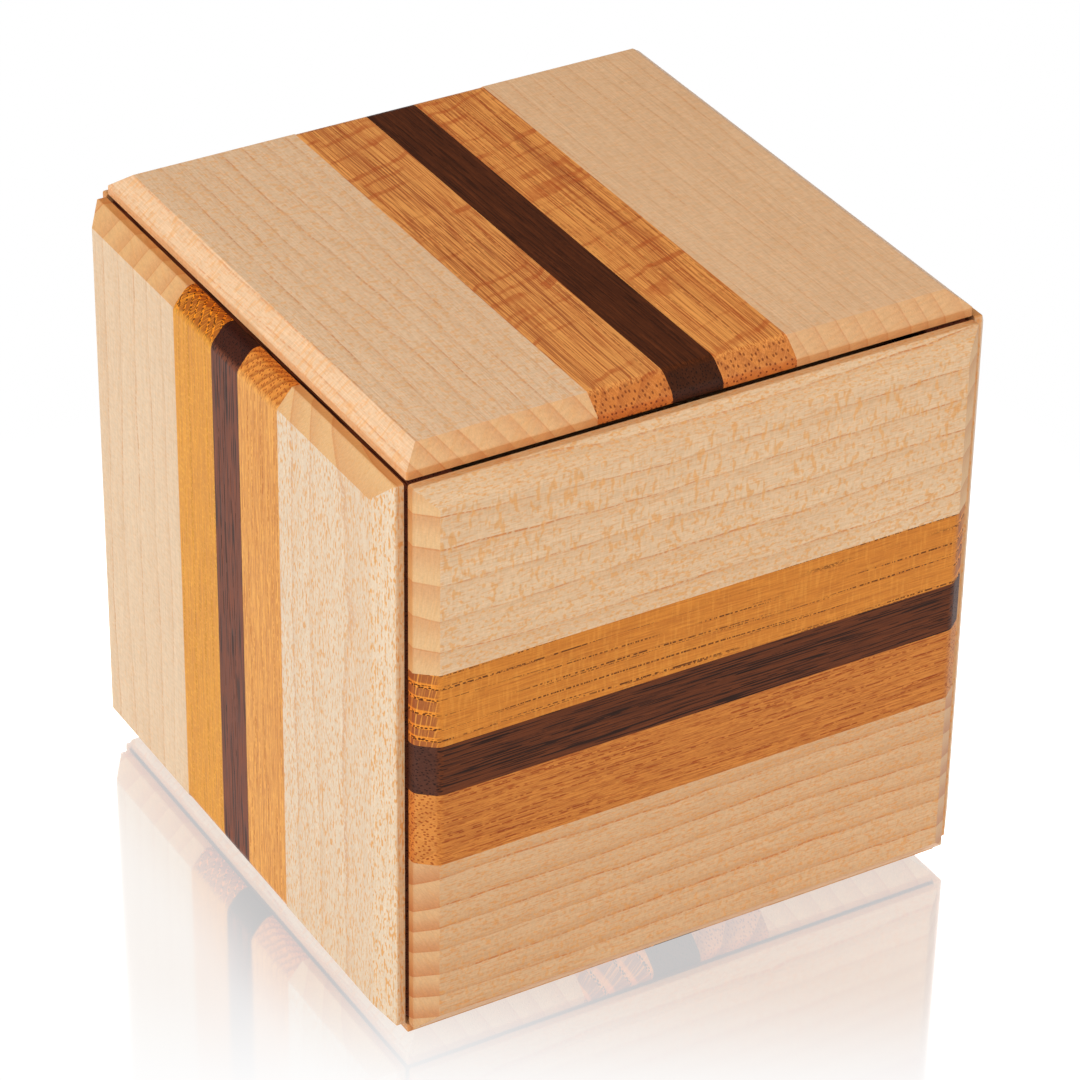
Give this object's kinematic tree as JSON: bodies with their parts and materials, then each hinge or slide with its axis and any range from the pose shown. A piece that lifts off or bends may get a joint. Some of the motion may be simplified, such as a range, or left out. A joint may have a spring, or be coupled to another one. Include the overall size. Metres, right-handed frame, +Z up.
{
  "type": "wooden puzzle box",
  "caption": "Cube-shaped wooden secret box with bevelled striped panels that slide over a hidden core, and a sliding top.",
  "frame": {"origin": "centre of the underside of the bottom panel", "axes": "+Z up, -Y out of the front panel, +X to the right when the front is faced"},
  "size_m": [0.078, 0.078, 0.078],
  "materials": {
    "maple": "satin, pale straight grain with fine ray flecks",
    "zelkova": "satin, golden orange, ring-porous with dark pore dashes",
    "cherry": "satin, reddish orange, fine-pored",
    "walnut": "satin, dark brown with darker streaks",
    "core_wood": "dark planed wood",
    "lining_wood": "plain planed wood",
    "hardwood": "waxed turned and cut hardwood"
  },
  "bodies": {
    "core": {"core_left_wall": "core_wood", "core_right_wall": "core_wood", "core_front_wall": "core_wood", "core_back_wall": "core_wood", "core_floor": "core_wood", "inner_floor": "lining_wood", "floor_cleats": "core_wood", "lining_left": "lining_wood", "lining_right": "lining_wood", "lining_front": "lining_wood", "lining_back": "lining_wood", "bottom_maple_right": "maple", "bottom_cherry": "cherry", "bottom_walnut": "walnut", "bottom_zelkova": "zelkova", "bottom_maple_left": "maple"},
    "top_panel": {"top_maple_left": "maple", "top_cherry": "cherry", "top_walnut": "walnut", "top_zelkova": "zelkova", "top_maple_right": "maple", "lid_carrier": "core_wood"},
    "end_panels": {"front_maple_upper": "maple", "front_zelkova": "zelkova", "front_walnut": "walnut", "front_cherry": "cherry", "front_maple_lower": "maple", "back_maple_lower": "maple", "back_zelkova": "zelkova", "back_walnut": "walnut", "back_cherry": "cherry", "back_maple_upper": "maple", "tie_bar": "core_wood", "front_buttons": "hardwood", "back_buttons": "hardwood", "key_peg": "hardwood"},
    "left_panel": {"left_maple_back": "maple", "left_zelkova": "zelkova", "left_walnut": "walnut", "left_cherry": "cherry", "left_maple_front": "maple", "left_buttons": "hardwood", "left_latch": "hardwood"},
    "right_panel": {"right_maple_front": "maple", "right_zelkova": "zelkova", "right_walnut": "walnut", "right_cherry": "cherry", "right_maple_back": "maple", "right_buttons": "hardwood", "right_latch": "hardwood"},
    "key": {"key_bar": "hardwood"}
  },
  "joints": [
    {"name": "top_slide", "type": "slide", "parent": "core", "child": "top_panel", "axis": [0, -1, 0], "range_m": [0, 0.051]},
    {"name": "end_panels_slide", "type": "slide", "parent": "core", "child": "end_panels", "axis": [1, 0, 0], "range_m": [0, 0.006]},
    {"name": "left_lift", "type": "slide", "parent": "core", "child": "left_panel", "axis": [0, 0, 1], "range_m": [0, 0.006]},
    {"name": "right_lift", "type": "slide", "parent": "core", "child": "right_panel", "axis": [0, 0, 1], "range_m": [0, 0.006]},
    {"name": "key_rise", "type": "slide", "parent": "core", "child": "key", "axis": [0, 0, 1], "range_m": [0, 0.0015]}
  ],
  "couplings": [
    {"joint": "key_rise", "follows": "end_panels_slide", "ratio": 0.25}
  ]
}
